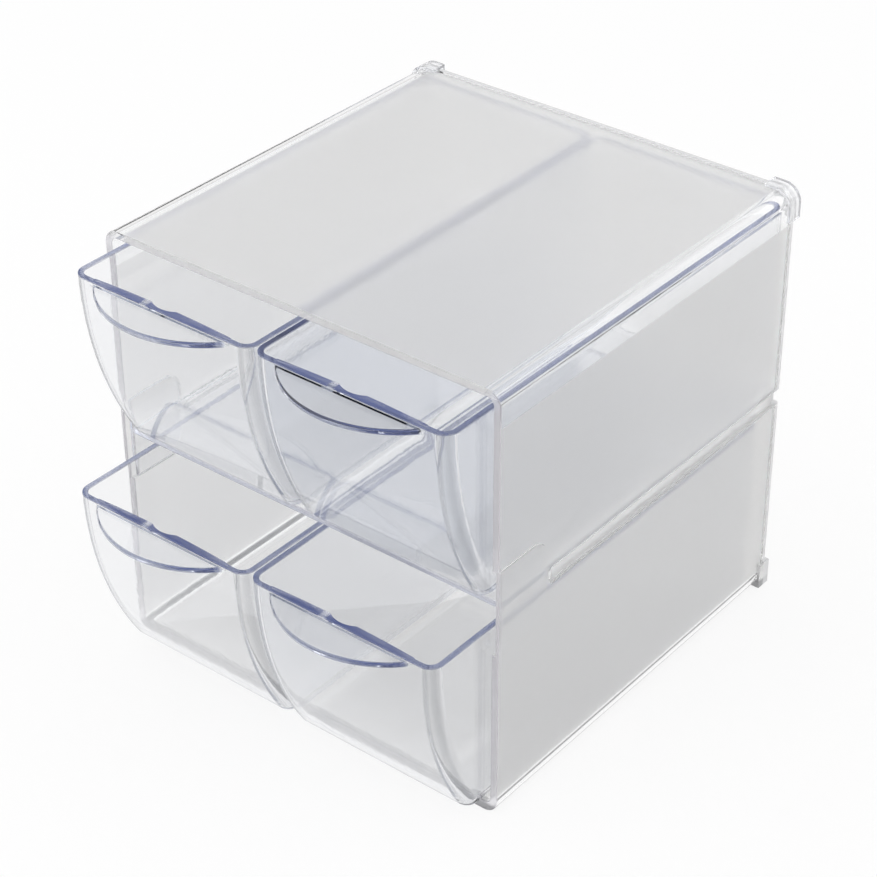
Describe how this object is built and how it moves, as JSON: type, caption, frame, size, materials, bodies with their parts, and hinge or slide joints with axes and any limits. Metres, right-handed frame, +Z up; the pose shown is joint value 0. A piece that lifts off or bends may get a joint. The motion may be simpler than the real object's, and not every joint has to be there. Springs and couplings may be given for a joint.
{
  "type": "desk drawer organizer",
  "caption": "Clear cube-shaped desk organizer: a frosted open-front shell with a middle shelf and open-top drawers that slide out by half-moon pull tabs.",
  "frame": {"origin": "centre of the underside of the housing, on the surface it stands on", "axes": "+X to the right as seen from the front, +Y from the drawer fronts to the back wall, +Z up"},
  "size_m": [0.153, 0.1909, 0.1535],
  "materials": {
    "frosted_shell": "frosted inside, gloss outside",
    "clear_shelf": "clear gloss",
    "clear_drawer": "clear gloss with blue-violet cut edges",
    "clear_clip": "clear gloss"
  },
  "bodies": {
    "case": {"housing": "frosted_shell", "mid_shelf": "clear_shelf", "rear_left_clip": "clear_clip", "rear_right_clip": "clear_clip"},
    "upper_left_drawer": {"upper_left_drawer": "clear_drawer"},
    "upper_right_drawer": {"upper_right_drawer": "clear_drawer"},
    "lower_left_drawer": {"lower_left_drawer": "clear_drawer"},
    "lower_right_drawer": {"lower_right_drawer": "clear_drawer"}
  },
  "joints": [
    {"name": "upper_left_slide", "type": "slide", "parent": "case", "child": "upper_left_drawer", "axis": [0, -1, 0], "range_m": [0, 0.125]},
    {"name": "upper_right_slide", "type": "slide", "parent": "case", "child": "upper_right_drawer", "axis": [0, -1, 0], "range_m": [0, 0.125]},
    {"name": "lower_left_slide", "type": "slide", "parent": "case", "child": "lower_left_drawer", "axis": [0, -1, 0], "range_m": [-0.007, 0.118]},
    {"name": "lower_right_slide", "type": "slide", "parent": "case", "child": "lower_right_drawer", "axis": [0, -1, 0], "range_m": [-0.007, 0.118]}
  ]
}
